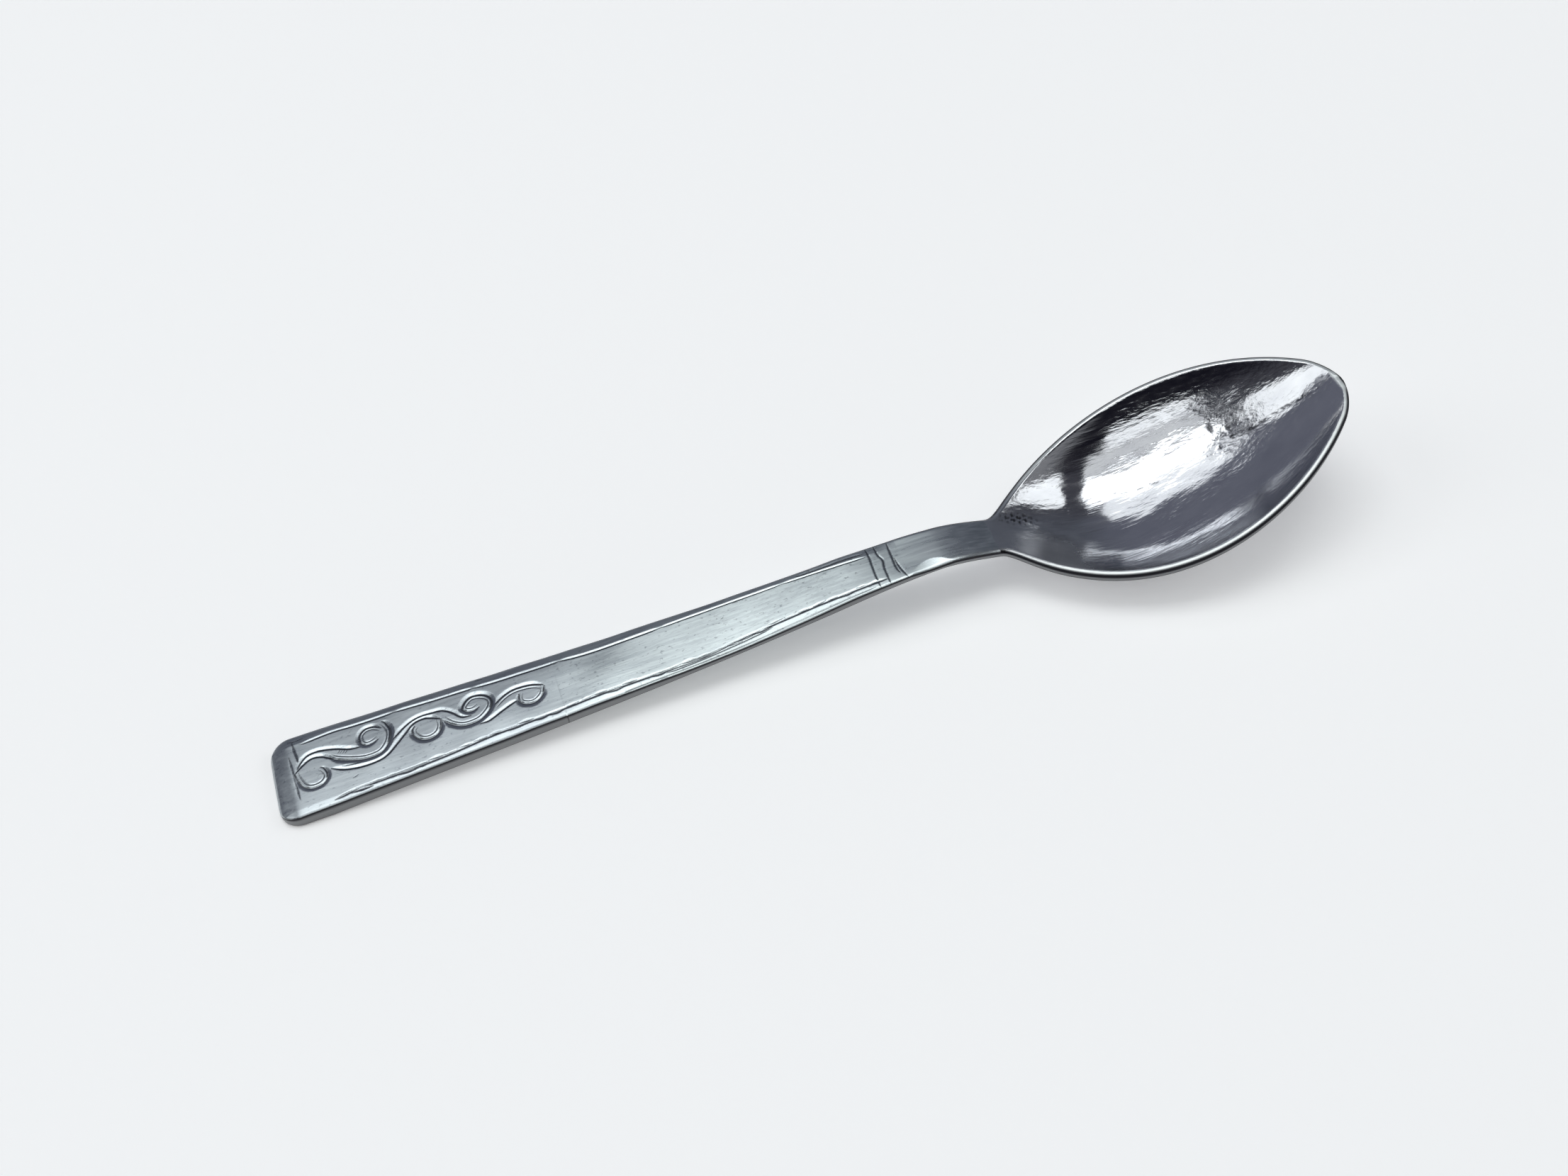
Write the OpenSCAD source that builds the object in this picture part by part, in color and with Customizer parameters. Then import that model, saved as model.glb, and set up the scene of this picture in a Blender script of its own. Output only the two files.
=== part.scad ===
// Teaspoon with a flat tapering handle, a slim neck and an egg-shaped bowl.
// It is one metal blank that is rolled, bent and dished, so its three worked zones meet face to face.
// Stations run along the spoon from the end of the handle, and heights are above the table it lies on.

/* [Handle] */
// Length of the flat handle, from its end to the neck
handle_length = 81; // [60:1:110]
// Width across the end of the handle
handle_end_width = 12.6; // [9:0.1:18]
// Corner radius at the end, seen from above
handle_corner = 2.7; // [1:0.1:4]
// Thickness of the metal at the end, before its underside is dressed flat
handle_thickness = 1.95; // [1.6:0.05:3]
// Height of the side face at the end, before its underside is dressed flat
handle_edge = 1.8; // [1.2:0.05:2.5]
// Height of the top face at the end, above the table
handle_end_height = 1.35; // [1:0.05:1.6]
// Slope of the handle at its end, in degrees
handle_end_slope = 4.3; // [3:0.1:6]
// Distance from the bend in the handle to the neck
bend_before_neck = 11; // [6:0.5:20]
// Height of the top face at the bend
bend_height = 6.4; // [5:0.1:9]
// Slope of the handle at the bend, in degrees
bend_slope = 7.2; // [4:0.1:10]

/* [Neck] */
// Length of the neck, from the handle to the bowl
neck_length = 12; // [9:0.5:20]
// Width of the neck at its crest
neck_width = 6.2; // [4:0.1:9]
// Thickness of the neck at its crest
neck_thickness = 2.6; // [2:0.05:4]
// Height of the side face at the crest
neck_edge = 1.1; // [0.8:0.05:1.6]
// Distance from the handle to the crest of the neck
crest_after_handle = 4.5; // [3:0.5:7]
// Height of the crest
crest_height = 7.9; // [7:0.1:12]
// Length over which the sides of the neck run out into the bowl
neck_runout = 40; // [25:1:48]

/* [Bowl] */
// Length of the bowl, from the neck to the tip
bowl_length = 47; // [38:1:60]
// Width of the bowl
bowl_width = 29.1; // [22:0.1:36]
// Fullness of the outline at the heel, lower is fuller
bowl_heel_power = 0.8; // [0.65:0.01:0.95]
// Fullness of the outline at the tip, lower is rounder
bowl_tip_power = 0.8; // [0.65:0.01:0.95]
// How far the point of the outline is cut back and rounded
tip_cutback = 1.6; // [0.8:0.1:3]
// Thickness of the bowl's wall at the belly
bowl_wall = 1.1; // [0.7:0.05:1.8]
// Width of the flat lip round the bowl
lip_width = 0.8; // [0.6:0.05:1.5]
// Height of the lip's outer edge
lip_edge = 1.2; // [0.8:0.05:1.8]
// Distance from the neck to the heel, where the rim is lowest
heel_after_neck = 6.7; // [4:0.1:10]
// Height of the rim at the heel
heel_height = 5.6; // [5:0.1:9]
// Distance from the neck to the belly, where the bowl touches the table
belly_after_neck = 15.4; // [13:0.1:20]
// Share of the way to the belly at which the hollow falls most steeply
fall_share = 0.52; // [0.45:0.01:0.6]
// Height of the hollow's floor there
fall_height = 2.95; // [2.2:0.05:4]
// Fall of the floor there, in degrees
fall_slope = 24.7; // [18:0.1:30]
// Share of the bowl's length at which the floor rises towards the tip
rise_share = 0.6; // [0.52:0.01:0.68]
// Height of the floor there
rise_height = 4.3; // [3:0.1:6]
// Rise of the floor there, in degrees
rise_slope = 22.3; // [16:0.1:28]
// Height of the tip
tip_height = 15.9; // [13:0.1:20]
// Slope of the rim at the tip, in degrees
tip_rim_slope = 11.5; // [6:0.5:20]
// Slope of the hollow at the tip, in degrees
tip_floor_slope = 43; // [32:0.5:50]
// Slope of the underside at the tip, in degrees
tip_keel_slope = 42; // [32:0.5:50]

/* [Edges] */
// Radius that softens the long edges
edge_round = 0.35; // [0.1:0.05:0.5]

/* [Hidden] */

// Stations along the spoon
neck_at = handle_length;
bowl_at = neck_at + neck_length;
spoon_length = bowl_at + bowl_length;
bend_at = neck_at - bend_before_neck;
crest_at = neck_at + crest_after_handle;
heel_at = bowl_at + heel_after_neck;
fall_at = bowl_at + fall_share * belly_after_neck;
belly_at = bowl_at + belly_after_neck;
rise_at = bowl_at + rise_share * bowl_length;
hollow_end_at = spoon_length - lip_width;

// Half the width of the blunt end that the rounded tip keeps
tip_blunt = 0.3;
// Sharpness of the corner where the neck flares into the bowl
flare_power = 2.7;
// How much fuller than a parabola the hollow and the underside are, across the spoon
fullness_share = 0.3;
// How the stations crowd towards the tip of the bowl
crowd_power = 1.5;
// A radius takes up at most this share of the face it softens
round_limit_share = 0.4;
// At the tip, where there is no hollow left, the lip's inner line keeps this share of the width
lip_limit_share = 0.3;
// A step along the outline that gives its direction
small_step = 0.01;
// Overrun of the cut that dresses the underside flat
overrun = 1;

// Counts of facets
hollow_facets = 20;
end_steps = 7;
handle_steps = 27;
neck_steps = 12;
bowl_steps = 60;

// Control points of the long lines, each with its station, height and rise per length
edge_line = [
    [0, handle_end_height, tan(handle_end_slope)],
    [bend_at, bend_height, tan(bend_slope)],
    [crest_at, crest_height, 0],
    [heel_at, heel_height, 0],
    [spoon_length, tip_height, tan(tip_rim_slope)]
];
thickness_line = [[0, handle_thickness, 0], [crest_at, neck_thickness, 0], [belly_at, bowl_wall, 0]];
side_line = [
    [0, handle_edge, 0],
    [crest_at, neck_edge, 0],
    [heel_at, lip_edge, 0],
    [spoon_length, lip_edge, 0]
];
floor_line = [
    [bowl_at, height_on(edge_line, bowl_at), rise_on(edge_line, bowl_at)],
    [fall_at, fall_height, -tan(fall_slope)],
    [belly_at, bowl_wall, 0],
    [rise_at, rise_height, tan(rise_slope)],
    [hollow_end_at, height_on(edge_line, hollow_end_at), tan(tip_floor_slope)]
];
tip_keel_line = [
    [belly_at, 0, 0],
    [rise_at, rise_height - bowl_wall / cos(rise_slope), tan(rise_slope)],
    [spoon_length, tip_height - lip_edge, tan(tip_keel_slope)]
];

// The stretch of a line that holds station s
function stretch_of(line, s, i = 0) =
    i >= len(line) - 2 || s <= line[i + 1][0] ? i : stretch_of(line, s, i + 1);

// Height of a line at station s, on a smooth curve through its control points
function height_on(line, s) =
    let(i = stretch_of(line, s), a = line[i], b = line[i + 1])
    let(run = b[0] - a[0], t = (s - a[0]) / run)
    a[1] * (2 * t^3 - 3 * t^2 + 1) + b[1] * (3 * t^2 - 2 * t^3)
        + run * (a[2] * (t^3 - 2 * t^2 + t) + b[2] * (t^3 - t^2));

function rise_on(line, s) =
    (height_on(line, s + small_step) - height_on(line, s - small_step)) / (2 * small_step);

// Height of the edge, which is the side of the handle's top and the rim of the bowl
function edge_z(s) = height_on(edge_line, s);

// Height of the top face on the centre line: the edge itself, or the floor of the hollow
function floor_z(s) =
    s <= bowl_at || s >= hollow_end_at ? edge_z(s) : min(edge_z(s), height_on(floor_line, s));

// Height of the underside on the centre line
function keel_z(s) =
    s <= belly_at ? floor_z(s) - height_on(thickness_line, s) : height_on(tip_keel_line, s);

// Half the width of the handle and neck, which run out inside the bowl
function shank_half(s) =
    let(t = min(s / crest_at, 1))
    let(width = handle_end_width + (neck_width - handle_end_width) * t)
    let(past = max(s - crest_at, 0) / neck_runout)
    width / 2 * max(1 - past^2, 0);

// Half the width of the egg outline of the bowl
function egg_half(s) =
    let(u = max(s - bowl_at, 0) / (bowl_length + tip_cutback))
    let(widest = bowl_heel_power / (bowl_heel_power + bowl_tip_power))
    bowl_width / 2 * (u / widest)^bowl_heel_power * ((1 - u) / (1 - widest))^bowl_tip_power;

// Radius that rounds off the tip
tip_round = egg_half(spoon_length) - tip_blunt;

// How far a quarter round of radius r has drawn in at distance s from its end
function drawn_in(s, r) = s >= r ? 0 : r - sqrt(r^2 - (r - s)^2);

// Half the width of the spoon
function half_width(s) =
    (shank_half(s)^flare_power + egg_half(s)^flare_power)^(1 / flare_power)
        - drawn_in(s, handle_corner) - drawn_in(spoon_length - s, tip_round);

// Half the width of the hollow, inside the lip
function hollow_half(s) =
    let(a = max(s - small_step, 0), b = min(s + small_step, spoon_length))
    let(slant = (half_width(b) - half_width(a)) / (b - a))
    max(half_width(s) - lip_width * sqrt(1 + slant^2), lip_limit_share * half_width(s));

// Depth of a dished curve at a share c of its half width, from 1 in the middle to 0 at its edge
function dished(c) = 1 - (1 - fullness_share) * c^2 - fullness_share * c^4;

// One cross-section as [top points, bottom points, left side points, right side points]
function section(s) =
    let(half = half_width(s), end_drop = drawn_in(s, edge_round))
    let(top = edge_z(s) - end_drop, side = height_on(side_line, s) - 2 * end_drop)
    let(r = min(edge_round, round_limit_share * half, round_limit_share * side))
    let(flat = half - r, inner = min(hollow_half(s), flat), bottom = top - side)
    let(depth = edge_z(s) - floor_z(s), crown = max(bottom - keel_z(s) - end_drop, 0))
    let(x = s - spoon_length / 2)
    let(hollow = [
        for (j = [0 : hollow_facets])
            let(c = -cos(180 * j / hollow_facets))
            [x, inner * c, top - depth * dished(c)]
    ])
    let(bottom_facets = hollow_facets + 2)
    let(under = [
        for (j = [0 : bottom_facets])
            let(c = -cos(180 * j / bottom_facets))
            [x, flat * c, bottom - crown * dished(c)]
    ])
    let(side_points = [
        [half - r + r * sin(45), top - r + r * cos(45)],
        [half, top - r],
        [half, bottom + r],
        [half - r + r * cos(45), bottom + r - r * sin(45)]
    ])
    [
        concat([[x, -flat, top]], hollow, [[x, flat, top]]),
        under,
        [for (p = side_points) [x, -p[0], p[1]]],
        [for (p = side_points) [x, p[0], p[1]]]
    ];

function reversed(list) = [for (i = [len(list) - 1 : -1 : 0]) list[i]];

// The cross-section's points in one round, seen from the handle: left to right on top, then back below
function ring(s) = let(c = section(s)) concat(c[0], c[3], reversed(c[1]), reversed(c[2]));

// Triangles of an end face whose ring starts at point number first
function end_face(first) =
    let(tops = hollow_facets + 3, sides = 4, round_count = 2 * tops + 2 * sides)
    let(under_right = tops + sides, under_left = 2 * tops + sides - 1)
    let(right = [for (i = [tops - 1 : under_right]) first + i])
    let(left = concat([for (i = [under_left : round_count - 1]) first + i], [first]))
    concat(
        [for (j = [0 : tops - 2]) [first + j, first + j + 1, first + under_left - j - 1]],
        [for (j = [0 : tops - 2]) [first + j, first + under_left - j - 1, first + under_left - j]],
        [for (i = [1 : len(right) - 2]) [right[0], right[i], right[i + 1]]],
        [for (i = [1 : len(left) - 2]) [left[0], left[i], left[i + 1]]]
    );

// A solid through the cross-sections at the given stations
module loft(stations) {
    rings = [for (s = stations) ring(s)];
    n = len(rings[0]);
    last = len(rings) - 1;
    walls = [
        for (i = [0 : last - 1], j = [0 : n - 1], half = [0, 1])
            let(a = i * n + j, b = i * n + (j + 1) % n)
            half == 0 ? [a, b + n, a + n] : [a, b, b + n]
    ];
    polyhedron(
        points = [for (one = rings, p = one) p],
        faces = concat([for (f = end_face(0)) reversed(f)], end_face(last * n), walls)
    );
}

// Even stations from one place to another
function even(from, to, steps) = [for (i = [0 : steps]) from + (to - from) * i / steps];

// Flat handle, dressed flat under its end where the spoon lies on the table
module handle() {
    rounding = [for (i = [0 : end_steps - 1]) handle_corner * (1 - cos(90 * i / end_steps))];
    color([0.62, 0.63, 0.66])
    difference() {
        loft(concat(rounding, even(handle_corner, neck_at, handle_steps)));
        translate([-spoon_length / 2 - overrun, -handle_end_width, -handle_thickness])
            cube([handle_length, 2 * handle_end_width, handle_thickness]);
    }
}

// Arched neck, thicker in the middle
module neck() {
    color([0.5, 0.51, 0.54])
    loft(even(neck_at, bowl_at, neck_steps));
}

// Dished bowl with a flat lip
module bowl() {
    color([0.72, 0.73, 0.75])
    loft([
        for (i = [0 : bowl_steps])
            let(share = 1 - (1 - i / bowl_steps)^crowd_power)
            bowl_at + bowl_length * share
    ]);
}

handle();
neck();
bowl();
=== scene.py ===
import math

import bpy
import numpy as np
from mathutils import Matrix, Vector


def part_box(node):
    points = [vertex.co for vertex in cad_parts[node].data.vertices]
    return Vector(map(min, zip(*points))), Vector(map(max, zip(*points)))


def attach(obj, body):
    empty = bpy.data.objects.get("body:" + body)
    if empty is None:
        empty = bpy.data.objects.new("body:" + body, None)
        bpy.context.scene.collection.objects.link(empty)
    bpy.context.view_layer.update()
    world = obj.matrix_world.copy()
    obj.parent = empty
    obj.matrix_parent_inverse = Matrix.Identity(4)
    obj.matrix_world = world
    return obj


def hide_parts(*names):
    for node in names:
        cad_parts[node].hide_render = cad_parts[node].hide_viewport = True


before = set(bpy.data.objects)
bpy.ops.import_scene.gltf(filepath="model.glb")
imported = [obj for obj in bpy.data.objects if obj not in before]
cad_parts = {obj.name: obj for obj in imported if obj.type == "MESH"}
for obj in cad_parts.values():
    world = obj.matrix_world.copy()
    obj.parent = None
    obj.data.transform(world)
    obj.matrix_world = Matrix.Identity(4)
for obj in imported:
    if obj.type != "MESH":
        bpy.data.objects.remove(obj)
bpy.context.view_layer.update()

# Handle
# The flat end of the spoon's one steel blank, rolled to taper towards the neck and rubbed satin lengthwise.
# A scroll and border lines are cut into its top with a graver. Its rounded edges and side walls carry painted
# shade: dark over the edges, grey down the walls.
mm = 0.001
handle_low, handle_high = (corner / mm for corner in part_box("handle"))
neck_low, neck_high = (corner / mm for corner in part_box("neck"))
handle_length = handle_high.x - handle_low.x
handle_end_width = handle_high.y - handle_low.y
handle_corner = 2.7
end_height, end_rise, end_thickness, end_side = 1.35, math.radians(4.3), 1.95, 1.8
bend_at, bend_height, bend_rise = handle_length - 11, 6.4, math.radians(7.2)
crest_at, crest_height, crest_thickness, crest_side = handle_length + 4.5, 7.9, 2.6, 1.1
neck_width = 6.2
edge_width, edge_fall = 0.45, 0.22
far_shade_from, near_shade_from = 0.3, 0.52
lower_round, end_round = 0.35, 0.35

# The long lines of the blank: station from the handle's end, height or thickness, rise per length
edge_points = [
    (0, end_height, math.tan(end_rise)),
    (bend_at, bend_height, math.tan(bend_rise)),
    (crest_at, crest_height, 0),
]
thickness_points = [(0, end_thickness, 0), (crest_at, crest_thickness, 0)]
side_points = [(0, end_side, 0), (crest_at, crest_side, 0)]


def line_height(points, s):
    """Heights at the stations s on a smooth line through its control points."""
    height = np.zeros_like(s)
    for i, (a, b) in enumerate(zip(points, points[1:])):
        run = b[0] - a[0]
        t = (s - a[0]) / run
        here = a[1] * (2 * t**3 - 3 * t**2 + 1) + b[1] * (3 * t**2 - 2 * t**3)
        here += run * (a[2] * (t**3 - 2 * t**2 + t) + b[2] * (t**3 - t**2))
        height = np.where((s > a[0]) | (i == 0), here, height)
    return height


def drawn_in(s, radius):
    """How far a quarter round has drawn in at distance s from its end."""
    return np.where(s < radius, radius - np.sqrt(np.maximum(radius**2 - (radius - s) ** 2, 0)), 0)


def shank_half(s):
    """Half the width of the handle and neck, with the corners at the end rounded."""
    width = handle_end_width + (neck_width - handle_end_width) * np.minimum(s / crest_at, 1)
    return width / 2 - drawn_in(s, handle_corner)


dish_share = 0.7


def dished(c):
    """Depth of a dished curve at a share c of its half width: 1 in the middle, 0 at its edge."""
    return 1 - dish_share * c**2 - (1 - dish_share) * c**4


# A ring of points round the blank: over the top and its rounded edges, down the walls, round below and across
top_count, under_count, edge_share = 161, 31, 0.88
top_place = np.linspace(-1, 1, top_count)
over_edge = np.clip((np.abs(top_place) - edge_share) / (1 - edge_share), 0, 1)
under_place = -np.cos(np.linspace(0, math.pi, under_count))
wall_steps = np.array([0.33, 0.66, 1.0])
turn_angles = np.radians([30, 60])
fall_most_share, turn_most_share = 0.4, 0.3


def top_offsets(half, inner):
    """Offsets across the top: even over the face, then over the rounded edge at each side."""
    out = np.abs(top_place)
    turn = over_edge * math.pi / 2
    offset = np.where(out < edge_share, inner * out / edge_share, inner + (half - inner) * np.sin(turn))
    return np.sign(top_place) * offset, np.cos(turn)


def cross_sections(s, half, inner, edge_drop, keel, relief):
    """Rings of points round the blank at the stations s: over the top, down one side, below and up again."""
    s, half, inner = s[:, None], half[:, None], inner[:, None]
    end_drop = drawn_in(s, end_round)
    top = line_height(edge_points, s) - end_drop
    bottom = np.maximum(top - line_height(side_points, s) + 2 * end_drop, 0)
    fall = np.minimum(np.reshape(edge_drop, (-1, 1)), fall_most_share * (top - bottom))
    turn_in = np.minimum(lower_round, turn_most_share * (top - bottom))
    y, level = top_offsets(half, inner)
    over = [y, top - fall * (1 - level) + relief(s, y)]
    crown = np.maximum(bottom - np.maximum(keel[:, None], 0) - end_drop, 0)
    under = [(half - turn_in) * under_place, bottom - crown * dished(under_place)]
    walls = {}
    for side, column in ((1, -1), (-1, 0)):
        high = over[1][:, column:][:, :1]
        low = bottom + turn_in
        wall_y = np.repeat(side * half, len(wall_steps), axis=1)
        wall_z = high + (low - high) * wall_steps
        round_y = side * (half - turn_in * (1 - np.cos(turn_angles)))
        round_z = low - turn_in * np.sin(turn_angles)
        walls[side] = np.hstack([wall_y, round_y]), np.hstack([wall_z, round_z])
    ring_y = np.hstack([over[0], walls[1][0], under[0][:, ::-1], walls[-1][0][:, ::-1]])
    ring_z = np.hstack([over[1], walls[1][1], under[1][:, ::-1], walls[-1][1][:, ::-1]])
    ring_x = np.repeat(s + handle_low.x, ring_y.shape[1], axis=1)
    return np.stack([ring_x, ring_y, ring_z], axis=-1)


def blank_mesh(name, rings, joined, marks):
    """A closed mesh through the rings. joined tells which of its two ends meet the next zone of the blank."""
    count, around = rings.shape[:2]
    first = np.arange(count - 1)[:, None] * around
    here = np.arange(around)
    after = (here + 1) % around
    quads = np.stack([first + here, first + around + here, first + around + after, first + after], axis=-1)
    ends = [list(range(around)), list(range(count * around - 1, (count - 1) * around - 1, -1))]
    mesh = bpy.data.meshes.new(name)
    mesh.from_pydata((rings * mm).reshape(-1, 3).tolist(), [], quads.reshape(-1, 4).tolist() + ends)
    mesh.shade_smooth()
    pairs = np.zeros(len(mesh.edges) * 2, dtype=np.int32)
    mesh.edges.foreach_get("vertices", pairs)
    ring_of = pairs.reshape(-1, 2) // around
    sharp = np.zeros(len(mesh.edges), dtype=bool)
    for at_end, ring in zip(joined, (0, count - 1)):
        sharp |= at_end & (ring_of == ring).all(axis=1)
    mesh.attributes.new("sharp_edge", "BOOLEAN", "EDGE").data.foreach_set("value", sharp)
    for mark_name, values in marks.items():
        attribute = mesh.attributes.new(mark_name, "FLOAT", "POINT")
        attribute.data.foreach_set("value", values.astype(np.float32).ravel())
    piece = bpy.data.objects.new(name, mesh)
    bpy.context.scene.collection.objects.link(piece)
    return piece


# Values of the side mark: grey painted shade on the walls, dark painted shade over the edges
on_wall, on_edge, shade_rise = 0.5, 1, 4


def edge_shade_marks(count, far_from, near_from):
    """Marks the rings where they turn over the edge and where they run down the side wall, where shade is
    painted.
    """
    dark_from = np.where(top_place > 0, far_from, near_from)
    over = np.clip(shade_rise * (over_edge - dark_from), 0, on_edge)
    wall = np.repeat([on_wall, on_edge], [len(wall_steps), len(turn_angles)])
    return np.tile(np.concatenate([over, wall, np.zeros(under_count), wall[::-1]]), (count, 1))


# The scroll, as stations and offsets of points along each cut, with its half width.
# The graver was held leaning, so most cuts have a wide flank on one hand, going along them,
# and a steep one on the other.
stem, curl, hair = 0.3, 0.35, 0.14
to_left, to_right, even = 1, -1, 0
scroll = [
    ([(3.1, 0.4), (3.7, 1.5), (4.7, 2.3), (6.2, 2.4), (8.1, 1.9), (9.7, 1.2), (11.1, 0.85)], stem, to_left),
    ([(2.9, 0.2), (3.9, 1.1), (5.1, 1.65), (6.3, 1.45), (7.1, 0.95), (8.1, 0.25)], stem, to_left),
    ([(7.2, 0.8), (8.3, 0.1), (10.1, -0.7), (11.5, -1.1), (13, -1.1), (14, -0.6), (14.8, 0.5), (15.1, 1.9),
      (14.7, 3.1), (14.3, 3.5)], curl, to_right),
    ([(14, 2.6), (13.2, 3.2), (12.1, 3.25), (11.3, 2.6), (11.2, 1.6), (11.7, 0.9), (12.5, 0.8),
      (13.4, 1.1)], stem, to_right),
    ([(2.8, 0.1), (2.9, -0.6), (3.5, -2), (4.5, -2.65), (5.7, -2.6), (6.5, -2), (6.7, -1.2), (6.4, -0.4),
      (6, -0.1)], stem, to_right),
    ([(7.2, -0.8), (9, -1.6), (10.9, -2), (12.8, -2), (14.1, -1.6), (15.5, -0.5), (16.7, 0.55), (17.9, 1.55),
      (19.2, 1.8), (20.3, 1.45), (21.3, 0.8)], stem, to_left),
    ([(7.9, -0.9), (9.1, -1.1), (10.7, -1.35), (12.3, -1.4), (13.6, -1.2), (14.8, -0.85)], hair, even),
    ([(15.2, 0.3), (16.4, 1.3), (17.7, 2), (19, 2.3), (20.5, 2.2), (21.7, 2), (22.8, 1.2), (23.8, 0.1),
      (24.9, -0.25)], stem, to_left),
    ([(21.3, 0.8), (21.2, -0.2), (20.6, -1.1), (19.5, -1.45), (18.4, -1.1), (17.7, -0.2), (17.6, 0.6),
      (18, 1.05)], curl, to_left),
    ([(21.5, 0.5), (22.4, -0.5), (23.5, -1.2), (24.7, -1.4), (26, -1.2), (27.2, -0.35), (27.8, 0.65),
      (27.6, 1.7), (26.7, 2.4), (25.5, 2.6), (24.6, 2.1), (24.1, 1.3), (24.5, 0.6), (25.3, 0.4),
      (26.1, 0.65)], curl, to_right),
    ([(25.8, -1.9), (27, -1.8), (28.7, -1.1), (30, -0.6), (31.1, -0.3)], stem, to_left),
    ([(27.9, 0), (29.1, 0.9), (30.5, 1.4), (32, 1.4), (33.2, 1.15), (34.3, 0.6)], stem, to_left),
    ([(34.4, 0.45), (34.1, -0.55), (33.3, -1.3), (32.3, -1.5), (31.3, -1.05), (31, -0.3),
      (31.2, 0.45)], curl, to_left),
]


def beside(points, gap):
    """Points of a cut that runs beside another, to its left."""
    p = np.array(points, dtype=float)
    heading = np.gradient(p, axis=0)
    heading /= np.linalg.norm(heading, axis=1, keepdims=True)
    return p + gap * np.stack([-heading[:, 1], heading[:, 0]], axis=-1)


# A hairline inside most curls, given by the cut that it follows and its gap, then the hatching on the stems
curl_hairlines = ((2, 0.5), (3, 0.42), (4, 0.5), (8, -0.5), (9, 0.5), (11, -0.5), (12, -0.45))
for i, gap in curl_hairlines:
    scroll.append((beside(scroll[i][0], gap), hair, even))
hatch_count = 4
for i in range(hatch_count):
    scroll.append(([(8.3 + 0.3 * i, 1 - 0.1 * i), (8.7 + 0.3 * i, 1.45 - 0.1 * i)], hair, even))
    scroll.append(([(15.2 + 0.5 * i, -0.9 + 0.5 * i), (15.7 + 0.5 * i, -0.2 + 0.4 * i)], hair, even))
# The lines round the field: along its far side in six strokes, across the end, across before the neck,
# and along its near side
far_line = [
    (4.2, 4.2), (8, 4.45), (11, 4.3), (16, 4.22), (22, 3.85), (26, 3.7), (30, 3.4), (34, 3.24), (37, 3.2),
    (40, 2.9), (45, 2.83), (50, 2.86), (55, 2.94), (60, 2.82), (66, 2.68), (70, 2.4), (74, 1.95),
    (76.8, 1.85),
]
far_stroke, thin_stroke, second_stroke = 0.23, 0.19, 0.22
far_borders = [(far_line[a:b], far_stroke, to_left) for a, b in ((0, 4), (3, 6), (5, 9), (8, 12))]
far_borders += [(far_line[a:b], thin_stroke, to_left) for a, b in ((11, 15), (14, 18))]
far_borders += [
    ([(2.6, 5.3), (3.3, 5.1), (4.5, 5.1)], hair, even),
    ([(68, 2.95), (72, 2.72), (76.8, 2.5)], second_stroke, to_left),
]
cross_stroke, end_stroke = 0.2, 0.17
cross_lines = [
    ([(3.1, 4.9), (3.2, 3.8), (3.4, 2.4), (3.5, 1.3)], cross_stroke, even),
    ([(2.4, 2.9), (2.6, 0.9), (2.7, -0.8), (2.8, -2.7), (2.9, -3.7)], end_stroke, even),
    ([(77.2, 3.1), (77.3, 1.7), (77.2, 0.3), (77.1, -1.7), (77.1, -3.4)], cross_stroke, even),
    ([(78.3, 3.1), (78.4, 1.6), (78.7, 0.6), (78.5, -0.7), (78.4, -3.3)], cross_stroke, even),
    ([(80, 3), (79.95, 1.2), (79.85, -1.2), (80, -2.2)], cross_stroke, even),
    ([(80.1, 0.3), (80.2, -0.8), (80.4, -1.9), (80.7, -3.2)], cross_stroke, even),
]
near_line = [
    (6.9, -5.3), (9.4, -4.9), (12.8, -4.8), (16, -4.75), (21, -4.55), (27, -4.05), (31.6, -3.95),
    (38.6, -3.65), (44.5, -3.45), (53.6, -3.4), (58, -2.85), (62, -2.55), (68.8, -2.35), (73, -2.42),
    (78.2, -2.35),
]
outer_line = [(43.4, -4.4), (49.2, -4.15), (54.8, -3.95), (60.6, -3.7), (66, -3.42), (71, -3.2), (76.5, -3)]
branch_line = [(49, -3.75), (54, -3.55), (58, -3.25), (63, -2.85)]
near_stroke, outer_stroke, branch_stroke = 0.26, 0.16, 0.18
near_borders = [
    (near_line, near_stroke, even),
    (outer_line, outer_stroke, even),
    (branch_line, branch_stroke, even),
]
# The near border is cut in short strokes that overlap and stray from the line.
# Each stroke's offset from the line, turn at its end and half width lie between these.
strokes = np.random.default_rng(3)
least_stray, most_stray = (-0.22, -0.15, 0.2), (0.22, 0.25, 0.36)
first_stroke, last_stroke, stroke_step, stroke_length, stroke_bow = 9, 77, 1.9, 2.6, 0.06
for at in np.arange(first_stroke, last_stroke, stroke_step):
    line_y = np.interp(at, *zip(*near_line))
    stray, turn_in, width = strokes.uniform(least_stray, most_stray)
    stroke = [
        (at, line_y + stray),
        (at + stroke_length / 2, line_y + stray + stroke_bow),
        (at + stroke_length, line_y + stray + turn_in),
    ]
    near_borders.append((stroke, width, even))
# Small nicks and pits from use, as short cuts
nicks = [
    ([(0.6, 2.1), (1, 2.15)], 0.12, even),
    ([(9.5, -3.2), (10.2, -3)], 0.16, even),
    ([(26.5, 4.8), (27.3, 4.75)], 0.16, even),
    ([(20.4, 3.4), (20.5, 3.35)], 0.1, even),
    ([(57.5, 1), (57.8, 1.1)], 0.2, even),
    ([(45.5, -2.3), (45.7, -2.4)], 0.12, even),
    ([(59.5, 2.6), (60.5, 2.75)], 0.12, even),
]
cut_share, flank_slope, flank_lean = 0.32, 0.3, 0.35
reach_share, swell_length, thin_end = 1.7, 1.2, 0.1
bed_share, bed_grime, bed_soft, grime_and_shade_rise = 0.42, 0.9, 1.3, 3
batch_size, least_distance = 4000, 0.001


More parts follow.
